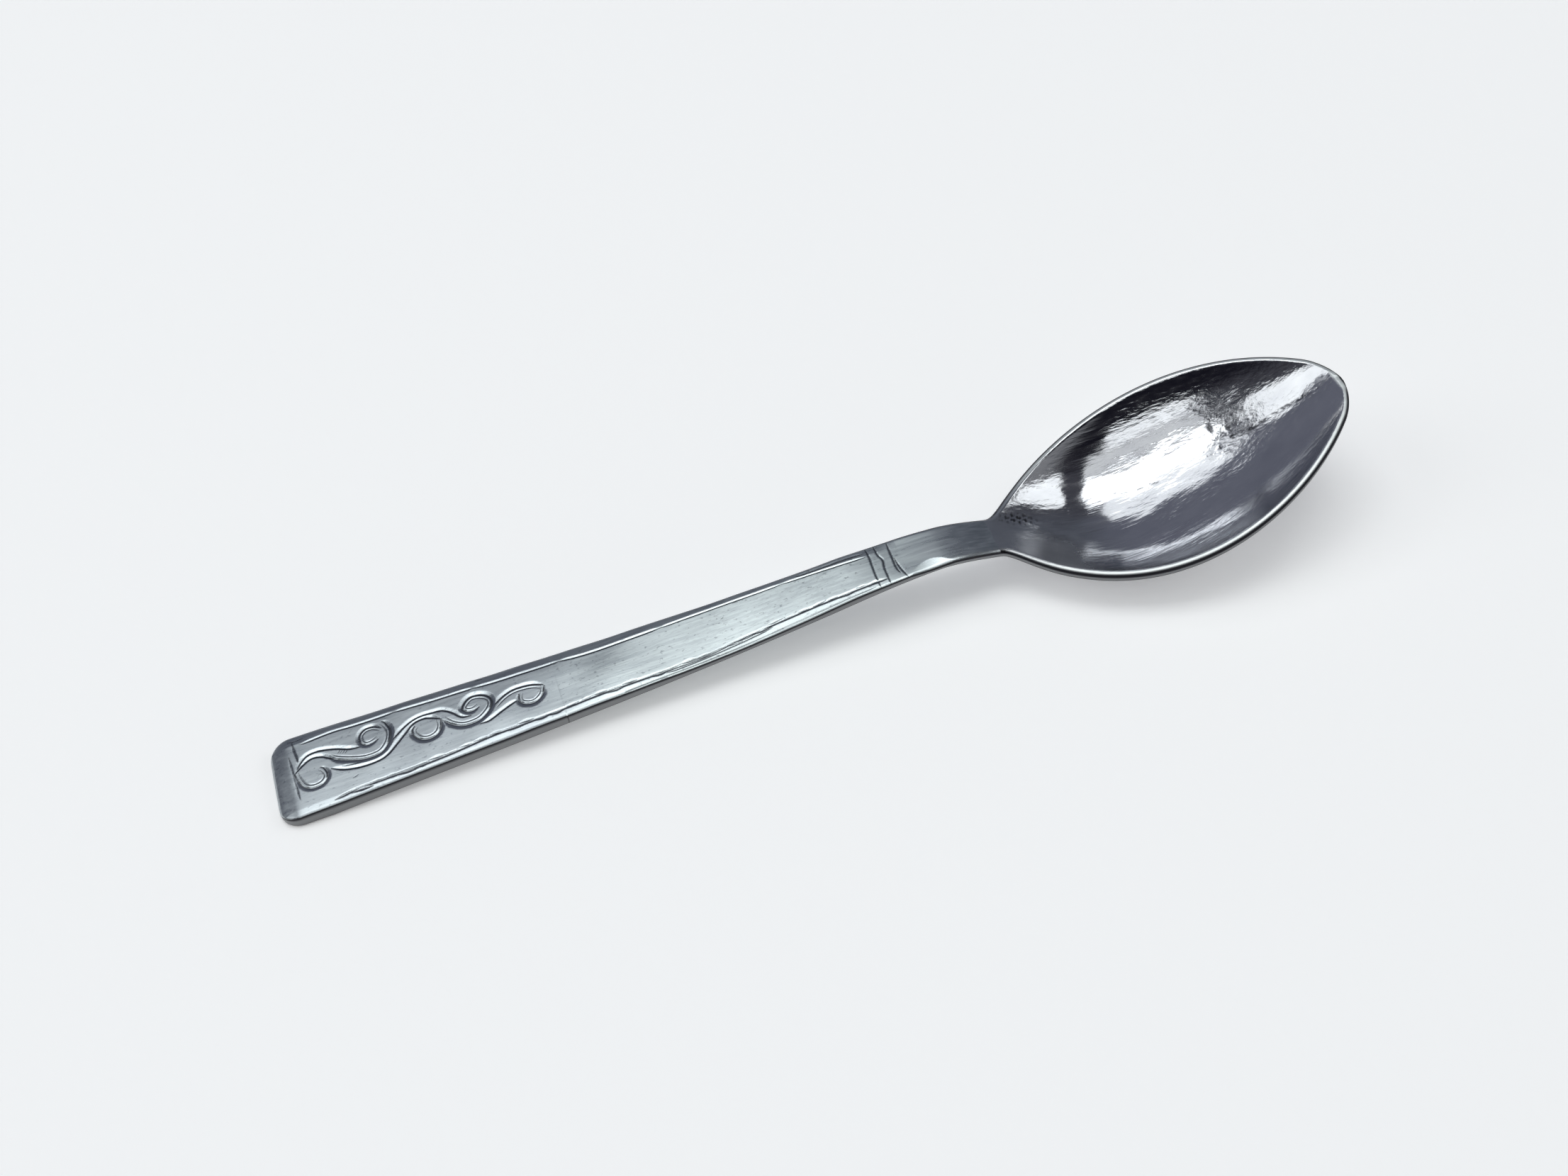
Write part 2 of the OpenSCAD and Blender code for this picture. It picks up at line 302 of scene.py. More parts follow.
def smooth_path(points, spacing=0.06):
    """Closely spaced points along a smooth curve through the given ones."""
    p = np.array(points, dtype=float)
    p = np.vstack([2 * p[0] - p[1], p, 2 * p[-1] - p[-2]])
    path = []
    for a, b, c, d in zip(p, p[1:], p[2:], p[3:]):
        count = math.ceil(np.linalg.norm(c - b) / spacing)
        t = np.linspace(0, 1, count, endpoint=False)[:, None]
        bend = (2 * a - 5 * b + 4 * c - d) * t**2
        twist = (3 * b - a - 3 * c + d) * t**3
        path.append(0.5 * (2 * b + (c - a) * t + bend + twist))
    return np.vstack(path + [p[-2:-1]])


def cut_grooves(s, y, cuts):
    """Depth of the deepest cut at each point, and how dark it is painted: grime along its bed, and painted
    shade on steep flanks that face away from the light. The cuts run out at their ends."""
    deepest, grime_and_shade = np.zeros(s.shape), np.zeros(s.shape)
    for points, half_width, wide in cuts:
        path = smooth_path(points)
        heading = np.gradient(path, axis=0)
        heading /= np.linalg.norm(heading, axis=1, keepdims=True)
        reach = reach_share * half_width
        near = (s > path[:, 0].min() - reach) & (s < path[:, 0].max() + reach)
        near &= (y > path[:, 1].min() - reach) & (y < path[:, 1].max() + reach)
        here = np.stack([s[near], y[near]], axis=-1)
        length = np.concatenate([[0], np.cumsum(np.linalg.norm(np.diff(path, axis=0), axis=1))])
        swell = np.clip(np.minimum(length, length[-1] - length) / swell_length, thin_end, 1) ** 0.5
        depth, grime_and_shade_here = np.zeros(len(here)), np.zeros(len(here))
        for part in np.array_split(np.arange(len(here)), 1 + len(here) // batch_size):
            gap = here[part, None] - path[None]
            nearest = np.argmin((gap**2).sum(axis=2), axis=1)
            off = gap[np.arange(len(part)), nearest]
            distance = np.maximum(np.linalg.norm(off, axis=1), least_distance)
            ahead = heading[nearest]
            on_wide = wide * (ahead[:, 0] * off[:, 1] - ahead[:, 1] * off[:, 0]) / distance
            bed = cut_share * half_width * swell[nearest]
            depth[part] = np.maximum(bed - flank_slope * (1 - flank_lean * on_wide) * distance, 0)
            # Painted shade on the steep flanks that face away from the light; grime along the bed
            shaded = np.clip(-off[:, 1] / distance, 0, 1) * (1 - on_wide) / 2
            in_bed = bed_grime * np.clip(bed_soft - distance / (bed_share * half_width), 0, 1)
            grime_and_shade_here[part] = np.maximum(shaded, in_bed) * np.clip(grime_and_shade_rise * depth[part] / bed, 0, 1)
        grime_and_shade[near] = np.where(depth > deepest[near], grime_and_shade_here, grime_and_shade[near])
        deepest[near] = np.maximum(deepest[near], depth)
    return deepest, grime_and_shade


far_slope, near_slope, run_out_length = 0.2, 0.1, 8
past_line_at, past_line_shares = (45, 55), (1.4, 1.15)
near_strip_at, near_strip_taper = 5.15, 0.038
end_strip, end_strip_bend = 3.3, 0.036
shoulder_overrun = 1


def far_strip(s):
    """Where the strip outside the far border line starts."""
    return np.interp(s, *zip(*far_line)) + np.interp(s, past_line_at, past_line_shares) * far_stroke


def run_out(s, end):
    """A share that eases from 1 to 0 as the relief of the handle runs out towards its end."""
    t = np.clip((end - s) / run_out_length, 0, 1)
    return t**2 * (3 - 2 * t)


def shoulder_drop(s, y):
    """How far the strips outside the border lines fall away, and the strip beyond the end line."""
    far = far_slope * np.maximum(y - far_strip(s), 0)
    near = near_slope * np.maximum(-y - (near_strip_at - near_strip_taper * s), 0)
    end = np.maximum(end_strip - s, 0)
    return (far + near) * run_out(s, handle_length + shoulder_overrun) + end_strip_bend * end**2


planish = np.random.default_rng(8)
planish_count, planish_height = 12, 0.008
planish_along = planish.uniform(0.25, 0.9, planish_count)
planish_across = planish.uniform(-1.1, 1.1, planish_count)
planish_start = planish.uniform(0, 2 * math.pi, planish_count)
field_rise, field_tilt = 0.15, 0.02
crown_at, crown_bends = (12, 30), (0.0035, 0.006)
ground_slope, ground_at, ground_spread, ground_from = 0.055, 57, 13, 3.5


def handle_relief(s, y):
    """The face of the handle: crowned a little, ground down towards its near side past the middle,
    and planished."""
    half = shank_half(s)
    raised = far_slope * np.maximum(half - far_strip(s), 0) + field_rise + field_tilt * y
    crown = np.interp(s, crown_at, crown_bends) * (y**2 - half**2)
    ground = ground_slope * np.exp(-(((s - ground_at) / ground_spread) ** 2)) * (ground_from - y)
    waves = zip(planish_along, planish_across, planish_start)
    planished = planish_height * sum(np.sin(a * s + b * y + d) for a, b, d in waves)
    return run_out(s, handle_length) * (raised + planished - crown - ground) - shoulder_drop(s, y)


corner_count, fine_step, plain_step = 48, 0.075, 0.15
scroll_end, lines_start = 36, 75.5
corner_stations = handle_corner * (1 - np.cos(np.linspace(0, math.pi / 2, corner_count)))
scroll_stations = np.arange(handle_corner + fine_step, scroll_end, fine_step)
plain_stations = np.arange(scroll_end, lines_start, plain_step)
line_stations = np.linspace(lines_start, handle_length, round((handle_length - lines_start) / fine_step))
stations = np.concatenate([corner_stations, scroll_stations, plain_stations, line_stations])
half = shank_half(stations)
handle_rings = cross_sections(
    stations,
    half,
    half - edge_width * np.minimum(half / 2, 1),
    edge_fall,
    line_height(edge_points, stations) - line_height(thickness_points, stations),
    handle_relief,
)
top_s = handle_rings[:, :top_count, 0] - handle_low.x
top_y = handle_rings[:, :top_count, 1]
depths, grime_and_shade = cut_grooves(top_s, top_y, scroll + far_borders + cross_lines + near_borders + nicks)
handle_rings[:, :top_count, 2] -= depths
full_cut, strip_soft = 0.05, 0.1
cut_mark, grime_and_shade_mark, strip_mark = np.zeros((3, *handle_rings.shape[:2]))
cut_mark[:, :top_count] = np.clip(depths / full_cut, 0, 1)
grime_and_shade_mark[:, :top_count] = grime_and_shade
strip_mark[:, :top_count] = np.clip((top_y - far_strip(top_s)) / strip_soft + 1, 0, 1)
edge_shade_mark = edge_shade_marks(len(stations), far_shade_from, near_shade_from)
handle_marks = {"cut": cut_mark, "grime_and_shade": grime_and_shade_mark, "strip": strip_mark, "side": edge_shade_mark}
handle = blank_mesh("handle_dressed", handle_rings, (False, True), handle_marks)


def add(tree, kind, sockets, **settings):
    """Adds a shader node. A socket takes a value, or the output of another node."""
    node = tree.nodes.new(kind)
    for name, value in settings.items():
        setattr(node, name, value)
    for name, value in sockets.items():
        if isinstance(value, bpy.types.NodeSocket):
            tree.links.new(value, node.inputs[name])
        else:
            node.inputs[name].default_value = value
    return node


def noise(tree, place, along, across, detail):
    """Noise stretched along the spoon: features of these lengths in millimetres."""
    scale = (1 / (along * mm), 1 / (across * mm), 1 / (across * mm))
    stretched = add(tree, "ShaderNodeMapping", {"Vector": place, "Scale": scale})
    made = add(tree, "ShaderNodeTexNoise", {"Vector": stretched.outputs[0], "Scale": 1.0, "Detail": detail})
    return made.outputs[0]


def spread(tree, value, low, high, start=0.3, end=0.7):
    """Maps a value from start..end to low..high."""
    sockets = {"Value": value, "From Min": start, "From Max": end, "To Min": low, "To Max": high}
    return add(tree, "ShaderNodeMapRange", sockets).outputs[0]


def blend_colour(tree, share, first, second):
    mixed = add(tree, "ShaderNodeMix", {0: share, 6: first, 7: second}, data_type="RGBA")
    return mixed.outputs[2]


def blend_value(tree, share, first, second):
    return add(tree, "ShaderNodeMix", {0: share, 2: first, 3: second}).outputs[0]


def combined(tree, operation, first, second):
    return add(tree, "ShaderNodeMath", {0: first, 1: second}, operation=operation).outputs[0]


def mark(tree, name):
    return add(tree, "ShaderNodeAttribute", {}, attribute_name=name).outputs["Fac"]


def bumped(tree, height, distance, normal=None):
    sockets = {"Height": height, "Strength": 1.0, "Distance": distance * mm}
    if normal:
        sockets["Normal"] = normal
    return add(tree, "ShaderNodeBump", sockets).outputs[0]


def crosswise(tree):
    """The direction across the spoon on its surface, over which rub lines along it spread the light."""
    normal = add(tree, "ShaderNodeNewGeometry", {}).outputs["Normal"]
    return add(tree, "ShaderNodeVectorMath", {0: normal, 1: (1, 0, 0)}, operation="CROSS_PRODUCT").outputs[0]


def new_steel(name):
    """A metal material: its node tree, its shader and the place on the spoon."""
    material = bpy.data.materials.new(name)
    material.use_nodes = True
    tree = material.node_tree
    shader = tree.nodes["Principled BSDF"]
    shader.inputs["Metallic"].default_value = 1.0
    place = add(tree, "ShaderNodeTexCoord", {}).outputs["Object"]
    return material, tree, shader, place


# Painted shade: the grey of the side walls and the near black over their rounded edges
wall_shade_grey, edge_shade_dark, grime_and_shade_black = (0.2, 0.205, 0.21, 1), (0.03, 0.03, 0.035, 1), (0.02, 0.02, 0.025, 1)


def with_edge_shade(tree, face):
    """The colour of a face carried over the edge, painted dark, and down the side wall, painted grey: painted
    shade on both.
    """
    side = mark(tree, "side")
    walled = blend_colour(tree, spread(tree, side, 0, 1, 0, on_wall), face, wall_shade_grey)
    return blend_colour(tree, spread(tree, side, 0, 1, on_wall, on_edge), walled, edge_shade_dark)


def satin_texture(tree, place):
    """The rub lines, clouds, grain and streaks of rubbed steel."""
    rub_lines = noise(tree, place, along=9, across=0.16, detail=3)
    clouds = noise(tree, place, along=12, across=4, detail=4)
    grain = noise(tree, place, along=0.3, across=0.22, detail=2)
    streaks = noise(tree, place, along=9, across=0.36, detail=5)
    return rub_lines, clouds, grain, streaks


rub_spread = 0.4


def rub_lengthwise(tree, shader, rub_lines, grain, line_depth, grain_depth):
    """Rubs the steel along its length: fine lines and grain, which spread the light across them."""
    shader.inputs["Anisotropic"].default_value = rub_spread
    tree.links.new(crosswise(tree), shader.inputs["Tangent"])
    brushed = bumped(tree, rub_lines, line_depth)
    tree.links.new(bumped(tree, grain, grain_depth, brushed), shader.inputs["Normal"])


satin_dark, satin_pale, band_highlight_pale = (0.48, 0.525, 0.53, 1), (0.575, 0.63, 0.63, 1), (0.75, 0.82, 0.815, 1)
streak_grey, strip_shade_grey, end_shade_tint = (0.36, 0.4, 0.42, 1), (0.3, 0.33, 0.36, 1), (0.85, 0.84, 0.865, 1)
scratch_grey, pit_grey = (0.3, 0.33, 0.35, 1), (0.22, 0.24, 0.26, 1)
band_highlight_share, streak_share, strip_shade_share, grime_and_shade_share = 0.5, 0.65, 0.4, 0.92
scratch_share, scratch_from, scratch_full = 0.55, 0.58, 0.68
pit_share, pit_from, pit_full = 0.7, 0.63, 0.72
satin_smooth, satin_rough, band_rougher, cut_smooth = 0.27, 0.35, 0.09, 0.15
rub_line_depth, grain_depth = 0.006, 0.004
satin_steel, tree, shader, place = new_steel("satin_steel")
rub_lines, clouds, grain, streaks = satin_texture(tree, place)
scratches = noise(tree, place, along=5, across=0.08, detail=2)
pits = noise(tree, place, along=0.6, across=0.4, detail=2)
strip = mark(tree, "strip")
station = add(tree, "ShaderNodeSeparateXYZ", {"Vector": place}).outputs[0]
# Painted highlight: the field is painted paler and made rougher from 44 to 80 mm, fullest from 54 to 68 mm
band_start, band_full, band_less, band_end = ((handle_low.x + s) * mm for s in (44, 54, 68, 80))
highlight_in = spread(tree, station, 0, 1, band_start, band_full)
highlight_out = spread(tree, station, 1, 0, band_less, band_end)
in_field = spread(tree, strip, 1, 0, 0, 1)
highlight_band = combined(tree, "MULTIPLY", combined(tree, "MULTIPLY", highlight_in, highlight_out), in_field)
# Painted shade: the handle is painted darker and cooler from its end, fading out from 32 to 42 mm
end_shade_full, end_shade_end = ((handle_low.x + s) * mm for s in (32, 42))
end_shade = spread(tree, station, 1, 0, end_shade_full, end_shade_end)
cloudy = blend_colour(tree, spread(tree, clouds, 0, 1), satin_dark, satin_pale)
band_highlighted = blend_colour(tree, spread(tree, highlight_band, 0, band_highlight_share, 0, 1), cloudy, band_highlight_pale)
streaked = blend_colour(tree, spread(tree, streaks, streak_share, 0), band_highlighted, streak_grey)
tinted = {0: end_shade, 6: streaked, 7: end_shade_tint}
end_shaded = add(tree, "ShaderNodeMix", tinted, data_type="RGBA", blend_type="MULTIPLY").outputs[2]
# Painted shade: the strip outside the far border line is painted darker
strip_shaded = blend_colour(tree, spread(tree, strip, 0, strip_shade_share, 0, 1), end_shaded, strip_shade_grey)
in_scratches = spread(tree, scratches, 0, scratch_share, scratch_from, scratch_full)
scratched = blend_colour(tree, in_scratches, strip_shaded, scratch_grey)
in_pits = spread(tree, pits, 0, pit_share, pit_from, pit_full)
pitted = blend_colour(tree, in_pits, scratched, pit_grey)
# Grime in the beds of the cuts, and painted shade on their flanks that face away from the light
engraved = blend_colour(tree, spread(tree, mark(tree, "grime_and_shade"), 0, grime_and_shade_share, 0, 1), pitted, grime_and_shade_black)
tree.links.new(with_edge_shade(tree, engraved), shader.inputs["Base Color"])
satin = spread(tree, streaks, satin_smooth, satin_rough)
satin_banded = combined(tree, "ADD", satin, spread(tree, highlight_band, 0, band_rougher, 0, 1))
bright_cut = blend_value(tree, mark(tree, "cut"), satin_banded, cut_smooth)
tree.links.new(bright_cut, shader.inputs["Roughness"])
rub_lengthwise(tree, shader, rub_lines, grain, rub_line_depth, grain_depth)
handle.data.materials.append(satin_steel)
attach(handle, "root")
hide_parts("handle")

# Neck
# The slim arch between handle and bowl, the thickest stretch of the same blank, forged and then polished.
# One facet has been filed off its near edge, just behind the three lines.
neck_length = neck_high.x - neck_low.x
bowl_low, bowl_high = (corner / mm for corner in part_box("bowl"))
spoon_length = bowl_high.x - handle_low.x
bowl_at = handle_length + neck_length
heel_at, heel_height = bowl_at + 6.7, 5.6
belly_at, bowl_wall = bowl_at + 15.4, 1.1
lip_width, lip_height, lip_fall, lip_shade_from = 0.8, 1.2, 0.4, 0.32
edge_points.append((heel_at, heel_height, 0))
thickness_points.append((belly_at, bowl_wall, 0))
side_points.append((heel_at, lip_height, 0))
neck_runout = 40


def neck_half(s):
    """Half the width of the neck, which draws in past its crest as the bowl takes over."""
    past = np.maximum(s - crest_at, 0) / neck_runout
    return shank_half(s) * (1 - past**2)


facet_at, facet_half_length, facet_reach, facet_slope = 84, 2.9, 1.5, 0.16
ease_from, ease_bend = 0.8, 0.018


def neck_relief(s, y):
    """The crescent facet filed off the near edge, deepest there, and the near side of the arch eased."""
    reach = facet_reach * np.clip(1 - ((s - facet_at) / facet_half_length) ** 2, 0, 1)
    facet = facet_slope * np.maximum(-y - (neck_half(s) - reach), 0)
    swell = np.sin(math.pi * np.clip((s - handle_length) / neck_length, 0, 1)) ** 2
    eased = ease_bend * swell * np.maximum(-y - ease_from, 0) ** 2
    return -facet - eased - shoulder_drop(s, y)


neck_count = 90
neck_stations = np.linspace(handle_length, bowl_at, neck_count)
to_bowl = (neck_stations - handle_length) / neck_length
half = neck_half(neck_stations)
neck_rings = cross_sections(
    neck_stations,
    half,
    half - edge_width - (lip_width - edge_width) * to_bowl,
    edge_fall + (lip_fall - edge_fall) * to_bowl,
    line_height(edge_points, neck_stations) - line_height(thickness_points, neck_stations),
    neck_relief,
)
edge_shade_mark = edge_shade_marks(len(neck_stations), far_shade_from, near_shade_from)
neck = blank_mesh("neck_dressed", neck_rings, (True, True), {"side": edge_shade_mark})

arch_dark, arch_pale = (0.63, 0.67, 0.69, 1), (0.73, 0.77, 0.78, 1)
arch_smooth, arch_line_depth, arch_grain_depth = 0.22, 0.003, 0.003
arch_from, arch_full, polish_from = ((neck_low.x + s) * mm for s in (1, 7, 3))
polished_neck, tree, shader, place = new_steel("polished_neck")
rub_lines, clouds, grain, streaks = satin_texture(tree, place)
station = add(tree, "ShaderNodeSeparateXYZ", {"Vector": place}).outputs[0]
by_handle = blend_colour(tree, spread(tree, clouds, 0, 1), satin_dark, satin_pale)
by_bowl = blend_colour(tree, spread(tree, clouds, 0, 1), arch_dark, arch_pale)
cloudy = blend_colour(tree, spread(tree, station, 0, 1, arch_from, arch_full), by_handle, by_bowl)
streaked = blend_colour(tree, spread(tree, streaks, streak_share, 0), cloudy, streak_grey)
tree.links.new(with_edge_shade(tree, streaked), shader.inputs["Base Color"])
satin = spread(tree, streaks, satin_smooth, satin_rough)
polished = spread(tree, station, 0, 1, polish_from, neck_high.x * mm)
tree.links.new(blend_value(tree, polished, satin, arch_smooth), shader.inputs["Roughness"])
rub_lengthwise(tree, shader, rub_lines, grain, arch_line_depth, arch_grain_depth)
neck.data.materials.append(polished_neck)
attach(neck, "root")
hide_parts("neck")

# Bowl
# The egg-shaped end of the blank, dished over a stake and polished lengthwise into a wavy mirror.
# Its lip is rounded to a soft bead with a painted highlight, and the metal has wrinkled a little where the
# hollow starts, with painted shade in its folds.
bowl_length = bowl_high.x - bowl_low.x
bowl_slack = 0.02
bowl_width = bowl_high.y - bowl_low.y - bowl_slack
tip_height, tip_rise = bowl_high.z, math.radians(11.5)
tip_cutback, tip_blunt, egg_power, flare = 1.6, 0.3, 0.8, 2.7
hollow_end = spoon_length - lip_width
edge_points.append((spoon_length, tip_height, math.tan(tip_rise)))
side_points.append((spoon_length, lip_height, 0))


def egg_half(s):
    """Half the width of the egg outline, before its tip is rounded."""
    u = np.maximum(s - bowl_at, 0) / (bowl_length + tip_cutback)
    return bowl_width / 2 * (2 * u) ** egg_power * (2 * (1 - u)) ** egg_power


tip_round = float(egg_half(np.array(spoon_length))) - tip_blunt


def bowl_half(s):
    """Half the width of the bowl: the neck flares into the egg, and the tip is rounded."""
    joined = (neck_half(s).clip(0) ** flare + egg_half(s) ** flare) ** (1 / flare)
    return joined - drawn_in(spoon_length - s, tip_round)


slope_step = 0.01


def line_rise(points, at):
    """Rise per length of a smooth line at one station."""
    before, beyond = line_height(points, np.array([at - slope_step, at + slope_step]))
    return (beyond - before) / (2 * slope_step)


bowl_edge, tip_edge = line_height(edge_points, np.array([bowl_at, hollow_end]))
fall_at, fall_height, fall_slope = bowl_at + 8, 2.95, math.radians(24.7)
rise_at, rise_height, rise_slope = bowl_at + 28.2, 4.3, math.radians(22.3)
hollow_tip_slope, keel_tip_slope = math.radians(43), math.radians(42)
floor_points = [
    (bowl_at, bowl_edge, line_rise(edge_points, bowl_at)),
    (fall_at, fall_height, -math.tan(fall_slope)),
    (belly_at, bowl_wall, 0),
    (rise_at, rise_height, math.tan(rise_slope)),
    (hollow_end, tip_edge, math.tan(hollow_tip_slope)),
]
tip_keel_points = [
    (belly_at, 0, 0),
    (rise_at, rise_height - bowl_wall / math.cos(rise_slope), math.tan(rise_slope)),
    (spoon_length, tip_height - lip_height, math.tan(keel_tip_slope)),
]
bowl_count, tip_crowd = 210, 1.5
bowl_stations = bowl_at + bowl_length * (1 - (1 - np.linspace(0, 1, bowl_count)) ** tip_crowd)
edge = line_height(edge_points, bowl_stations)
floor = np.where(bowl_stations < hollow_end, np.minimum(edge, line_height(floor_points, bowl_stations)), edge)
keel = np.where(
    bowl_stations < belly_at,
    floor - line_height(thickness_points, bowl_stations),
    line_height(tip_keel_points, bowl_stations),
)
half = bowl_half(bowl_stations)
before = np.maximum(bowl_stations - slope_step, 0)
beyond = np.minimum(bowl_stations + slope_step, spoon_length)
slant = (bowl_half(beyond) - bowl_half(before)) / (beyond - before)
inner_least_share = 0.3
inner = np.maximum(half - lip_width * np.sqrt(1 + slant**2), inner_least_share * half)
hammer = np.random.default_rng(5)
wave_count = 14
wave_along = hammer.uniform(-0.9, 0.9, wave_count)
wave_across = hammer.uniform(0.8, 2.2, wave_count) * hammer.choice([-1, 1], wave_count)
wave_start = hammer.uniform(0, 2 * math.pi, wave_count)
wave_height, wrinkle_height, dent_depth, tip_fall, calm_share = 0.006, 0.045, 0.07, 0.3, 0.25
# The wrinkled spot at the heel and two dents, as station, offset, length and width, and the wrinkles' turns
heel_spot = (97.6, 2.7, 2.1, 0.8)
dents = [(125.4, 5.8, 0.25, 0.55), (125.5, 2.75, 0.22, 0.3)]
wrinkle_turns = ((5.5, 2.5), (2.1, -4.2))


def spot(s, y, at_s, at_y, length, width):
    """A soft spot: 1 in its middle, less over its length and width."""
    return np.exp(-(((s - at_s) / length) ** 2) - ((y - at_y) / width) ** 2)


def wrinkles(s, y):
    """Small folds of the metal, from -1 to 1, where two sets of them cross."""
    (a, b), (c, d) = wrinkle_turns
    return np.sin(a * s + b * y) * np.sin(c * s + d * y)


def dented(s, y):
    return sum(spot(s, y, *dent) for dent in dents)


def hollow_relief(s, y):
    """Depth of the hollow below the lip, with the waves left by the hammer and the wrinkles at the heel."""
    c = np.clip(np.abs(y) / inner[:, None], 0, 1)
    fade = np.clip((1 - c) / calm_share, 0, 1)
    wavy = sum(np.sin(a * s + b * y + d) for a, b, d in zip(wave_along, wave_across, wave_start))
    wrinkled = spot(s, y, *heel_spot) * (1 + wrinkles(s, y))
    rough = wave_height * wavy - wrinkle_height * wrinkled - dent_depth * dented(s, y)
    tip = np.clip((s - hollow_end) / lip_width, 0, 1)
    return fade * rough - (edge - floor)[:, None] * dished(c) - tip_fall * (1 - np.sqrt(1 - tip**2))


bowl_rings = cross_sections(bowl_stations, half, inner, lip_fall, keel, hollow_relief)
top_s = bowl_rings[:, :top_count, 0] - handle_low.x
top_y = bowl_rings[:, :top_count, 1]
# Shallow creases, painted dark along them as painted shade, as stations and offsets along each, with its half
# width
creases = [
    ([(107.5, 4.8), (110.8, 4.6), (114.3, 3.8), (117.8, 3.1)], 0.3, even),
    ([(127.2, 5.2), (127.4, 4.2), (127.4, 3.2), (128.5, 2.5)], 0.4, even),
    ([(128.5, 2.5), (131.8, 2.3), (135.1, 1.7), (137.5, 1)], 0.3, even),
]
crease_depth_share = 0.1
depths, _ = cut_grooves(top_s, top_y, creases)
bowl_rings[:, :top_count, 2] -= crease_depth_share * depths
# The outer edge of the lip at the tip gets the same dark painted shade.
tip_out = (bowl_stations - hollow_end) / lip_width
tip_turn = np.arcsin(np.clip(tip_out, 0, 1)) / (math.pi / 2)
tip_shade = np.clip(shade_rise * (tip_turn - lip_shade_from), 0, 1)
edge_shade_mark = edge_shade_marks(len(bowl_stations), lip_shade_from, lip_shade_from)
edge_shade_mark[:, :top_count] = np.maximum(edge_shade_mark[:, :top_count], tip_shade[:, None])
edge_shade_mark[-1, top_count:] = on_wall
rim_rise, tip_rim_width, rim_fade_length = 6, 0.3, 8
wall = np.ones(len(wall_steps) + len(turn_angles))
rim = np.concatenate([np.clip(rim_rise * over_edge, 0, 1), wall, np.zeros(under_count), wall])
rim_mark = np.tile(rim, (len(bowl_stations), 1))
tip_rim = np.clip((bowl_stations - hollow_end) / tip_rim_width + 1, 0, 1)
rim_mark[:, :top_count] = np.maximum(rim_mark[:, :top_count], tip_rim[:, None])
rim_mark *= np.clip((bowl_stations - bowl_at) / rim_fade_length, 0, 1)[:, None]
# Painted shade in the folds of the wrinkles and in the dents
heel_reach, fold_rise = 1.6, 2
in_folds = np.clip(fold_rise * wrinkles(top_s, top_y), 0, 1)
in_wrinkles = np.clip(heel_reach * spot(top_s, top_y, *heel_spot), 0, 1) * in_folds
grime_and_shade_mark, crease_mark = np.zeros((2, *bowl_rings.shape[:2]))
grime_and_shade_mark[:, :top_count] = np.clip(np.maximum(in_wrinkles, dented(top_s, top_y)), 0, 1)
crease_mark[:, :top_count] = np.clip(depths / full_cut, 0, 1)
bowl_marks = {"side": edge_shade_mark, "rim": rim_mark, "grime_and_shade": grime_and_shade_mark, "crease": crease_mark}
bowl = blank_mesh("bowl_dressed", bowl_rings, (True, False), bowl_marks)

mirror_dark, mirror_pale, rim_highlight_pale = (0.55, 0.56, 0.59, 1), (0.64, 0.65, 0.67, 1), (0.74, 0.77, 0.76, 1)
fold_shade_from, fold_shade_full, crease_shade_share, crease_shade_from, crease_shade_full = 0.1, 0.9, 0.85, 0.42, 0.58
mirror_smooth, mirror_rough, heel_rough, rim_rough = 0.07, 0.17, 0.36, 0.5
ripple_depth, polish_depth, ragged_depth = 0.025, 0.035, 0.01
mirror_steel, tree, shader, place = new_steel("mirror_steel")
polish_lines = noise(tree, place, along=7, across=0.5, detail=4)
ripples = noise(tree, place, along=3.5, across=1.4, detail=4)
clouds = noise(tree, place, along=8, across=3, detail=4)
breaks = noise(tree, place, along=1.2, across=0.5, detail=4)
ragged = noise(tree, place, along=1.6, across=0.45, detail=5)
rim = mark(tree, "rim")
face_colour = blend_colour(tree, spread(tree, clouds, 0, 1), mirror_dark, mirror_pale)
# Painted highlight: the lip is painted paler than the hollow
lip_highlighted = blend_colour(tree, rim, face_colour, rim_highlight_pale)
# Painted shade: the wrinkles, dents and creases are painted near black
in_dents = spread(tree, mark(tree, "grime_and_shade"), 0, grime_and_shade_share, fold_shade_from, fold_shade_full)
fold_shaded = blend_colour(tree, in_dents, lip_highlighted, grime_and_shade_black)
broken = spread(tree, breaks, 0, 1, crease_shade_from, crease_shade_full)
crease_shade = combined(tree, "MULTIPLY", mark(tree, "crease"), broken)
creased = blend_colour(tree, spread(tree, crease_shade, 0, crease_shade_share, 0, 1), fold_shaded, grime_and_shade_black)
tree.links.new(with_edge_shade(tree, creased), shader.inputs["Base Color"])
along, across = add(tree, "ShaderNodeSeparateXYZ", {"Vector": place}).outputs[:2]
heel_start, heel_end = ((handle_low.x + s) * mm for s in (101, 107))
near_full, near_from = -1.5 * mm, 1 * mm
neck_fade_length = 6
at_heel = spread(tree, along, 1, 0, heel_start, heel_end)
on_near = spread(tree, across, 1, 0, near_full, near_from)
by_neck = spread(tree, along, 1, 0, bowl_low.x * mm, (bowl_low.x + neck_fade_length) * mm)
polish = spread(tree, polish_lines, mirror_smooth, mirror_rough)
dulled = blend_value(tree, combined(tree, "MULTIPLY", at_heel, on_near), polish, heel_rough)
joined = blend_value(tree, by_neck, dulled, arch_smooth)
tree.links.new(blend_value(tree, rim, joined, rim_rough), shader.inputs["Roughness"])
rippled = bumped(tree, ripples, ripple_depth)
polished_along = bumped(tree, polish_lines, polish_depth, rippled)
tree.links.new(bumped(tree, ragged, ragged_depth, polished_along), shader.inputs["Normal"])
bowl.data.materials.append(mirror_steel)
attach(bowl, "root")
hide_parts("bowl")

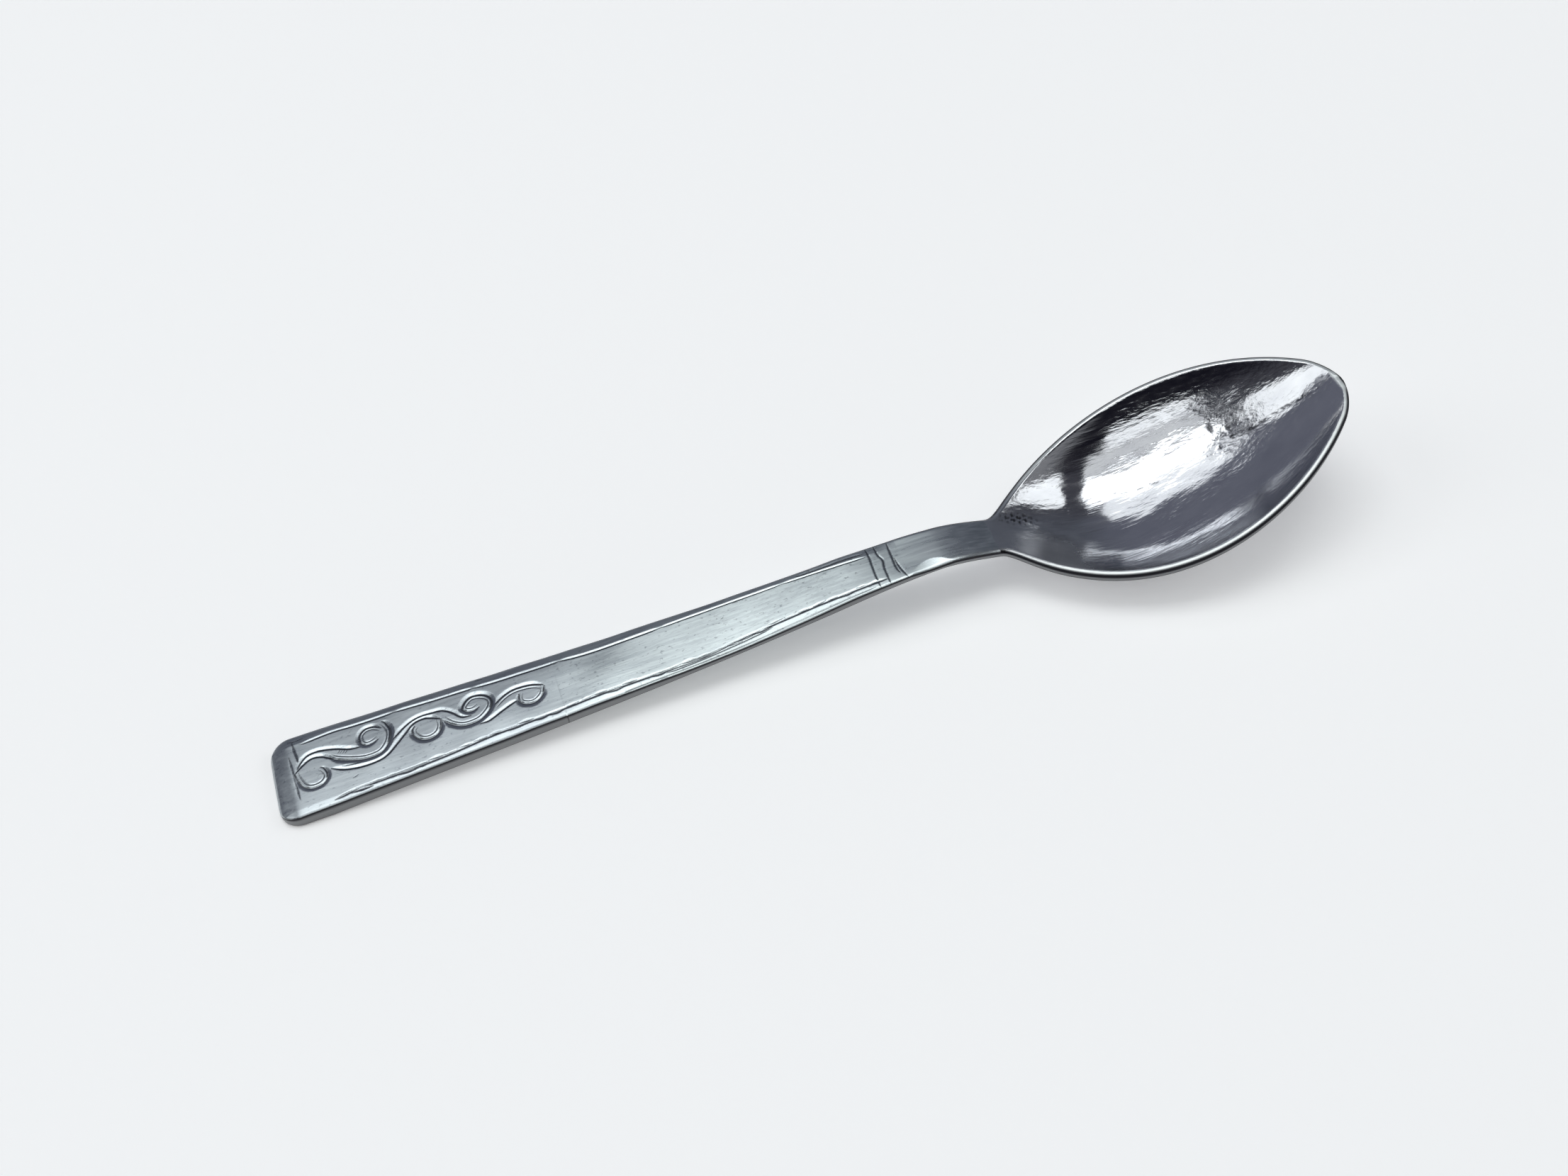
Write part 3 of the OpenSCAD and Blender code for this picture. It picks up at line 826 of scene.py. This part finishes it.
# Table
# A plain pale table top, painted matt.
# It lies a hair below the spoon, which rests on it by the flat of its handle and the belly of its bowl.
table_half, table_gap = 1.5, 0.00002
table_white, table_rough, table_glow = (0.9, 0.9, 0.9, 1), 0.8, 0.23
corner_signs = ((-1, -1), (1, -1), (1, 1), (-1, 1))
table_corners = [(x * table_half, y * table_half, -table_gap) for x, y in corner_signs]
table_mesh = bpy.data.meshes.new("table")
table_mesh.from_pydata(table_corners, [], [(0, 1, 2, 3)])
table = bpy.data.objects.new("table", table_mesh)
bpy.context.scene.collection.objects.link(table)
pale_top = bpy.data.materials.new("pale_top")
pale_top.use_nodes = True
tree = pale_top.node_tree
shader = tree.nodes["Principled BSDF"]
shader.inputs["Base Color"].default_value = table_white
shader.inputs["Roughness"].default_value = table_rough
shader.inputs["Emission Color"].default_value = (1, 1, 1, 1)
seen = add(tree, "ShaderNodeLightPath", {})
direct = seen.outputs["Is Camera Ray"]
for ray in ("Is Glossy Ray", "Is Transmission Ray"):
    direct = combined(tree, "MAXIMUM", direct, seen.outputs[ray])
tree.links.new(spread(tree, direct, 0, table_glow, 0, 1), shader.inputs["Emission Strength"])
table.data.materials.append(pale_top)

# Studio
# A dim room, dark on the camera's side and pale at the horizon, with softboxes hung overhead.
# Each softbox is given by its middle, size and turn in degrees, as they would be at a height of 1.
softbox_height = 2.0
lamp_tint = (0.97, 1.0, 1.0)


def softbox(name, x, y, width, depth, turned, brightness):
    """Hangs a softbox that looks down, as bright all over its face as the brightness says."""
    lamp = bpy.data.lights.new(name, "AREA")
    lamp.shape = "RECTANGLE"
    lamp.size, lamp.size_y = width * softbox_height, depth * softbox_height
    lamp.energy = math.pi * lamp.size * lamp.size_y * brightness
    lamp.color = lamp_tint
    hung = bpy.data.objects.new(name, lamp)
    hung.location = Vector((x, y, 1)) * softbox_height
    hung.rotation_euler.z = math.radians(turned)
    hung.visible_camera = False
    bpy.context.scene.collection.objects.link(hung)


softbox("main_softbox", -0.03, 0.12, 0.94, 0.42, -14, 3.2)
softbox("far_softbox", -0.15, 0.55, 0.8, 0.32, -14, 1.2)
softbox("middle_softbox", -0.1, -0.29, 1.0, 0.28, -14, 0.85)
softbox("near_softbox", -0.24, -0.585, 0.76, 0.27, -14, 1.6)
softbox("left_softbox", -1.91, 0.29, 2.4, 0.8, -6, 1.45)
softbox("right_softbox", 1.67, -0.09, 1.5, 0.8, 5, 1.5)

world = bpy.data.worlds.new("room")
bpy.context.scene.world = world
world.use_nodes = True
tree = world.node_tree
direction = add(tree, "ShaderNodeTexCoord", {}).outputs["Generated"]
rightward, farward, upward = add(tree, "ShaderNodeSeparateXYZ", {"Vector": direction}).outputs
front_dark, side_grey, panel_grey = (0.01, 0.01, 0.016, 1), (0.065, 0.066, 0.08, 1), (0.27, 0.275, 0.29, 1)
far_left_grey, far_right_grey = (0.16, 0.168, 0.21, 1), (0.11, 0.12, 0.145, 1)
horizon_pale = (0.68, 0.69, 0.7, 1)
# Where each part of the room starts and ends, as shares of a direction to the right, to the far side and up
dark_front, far_side, right_side = (-0.56, -0.3), (0.2, 0.55), (0.1, 0.6)
horizon_up, front_half, glow_up = (0.02, 0.08), (-0.35, 0), (0.1, 0.3)
panel_up, panel_side = (0.45, 0.65), (0.12, 0.35)
far_colour = blend_colour(tree, spread(tree, rightward, 0, 1, *right_side), far_left_grey, far_right_grey)
walls = blend_colour(tree, spread(tree, farward, 0, 1, *far_side), side_grey, far_colour)
room = blend_colour(tree, spread(tree, farward, 1, 0, *dark_front), walls, front_dark)
in_front = spread(tree, farward, 1, 0, *front_half)
front_panel = combined(tree, "MULTIPLY", spread(tree, upward, 1, 0, *panel_up), in_front)
right_panel = combined(tree, "MULTIPLY", front_panel, spread(tree, rightward, 0, 1, *panel_side))
panelled = blend_colour(tree, right_panel, room, panel_grey)
front_glow = combined(tree, "MULTIPLY", spread(tree, upward, 1, 0, *glow_up), in_front)
pale_band = combined(tree, "MAXIMUM", spread(tree, upward, 1, 0, *horizon_up), front_glow)
sky = blend_colour(tree, pale_band, panelled, horizon_pale)
tree.links.new(sky, tree.nodes["Background"].inputs["Color"])

# Camera
# Stands where the photograph was taken from, above the near side of the spoon.
# Its turn about the spoon, its climb above the table and its tilt are in degrees.
turn, climb, tilt = (math.radians(a) for a in (-12, 50.07, -7.9))
image_width, focal_pixels, sensor_width, nearest_seen = 2212, 2600, 36, 0.01
camera_place = Vector((-34.4, -141.6, 181.7)) * mm
back = Vector((math.sin(turn) * math.cos(climb), -math.cos(turn) * math.cos(climb), math.sin(climb)))
level_right = Vector((math.cos(turn), math.sin(turn), 0))
level_up = back.cross(level_right)
right = level_right * math.cos(tilt) + level_up * math.sin(tilt)
up = level_up * math.cos(tilt) - level_right * math.sin(tilt)
lens = bpy.data.cameras.new("camera")
lens.sensor_fit = "HORIZONTAL"
lens.sensor_width = sensor_width
lens.lens = sensor_width * focal_pixels / image_width
lens.clip_start = nearest_seen
camera = bpy.data.objects.new("camera", lens)
facing = Matrix((right, up, back)).transposed().to_4x4()
camera.matrix_world = Matrix.Translation(camera_place) @ facing
bpy.context.scene.collection.objects.link(camera)
bpy.context.scene.camera = camera
bpy.context.scene.view_settings.view_transform = "Standard"
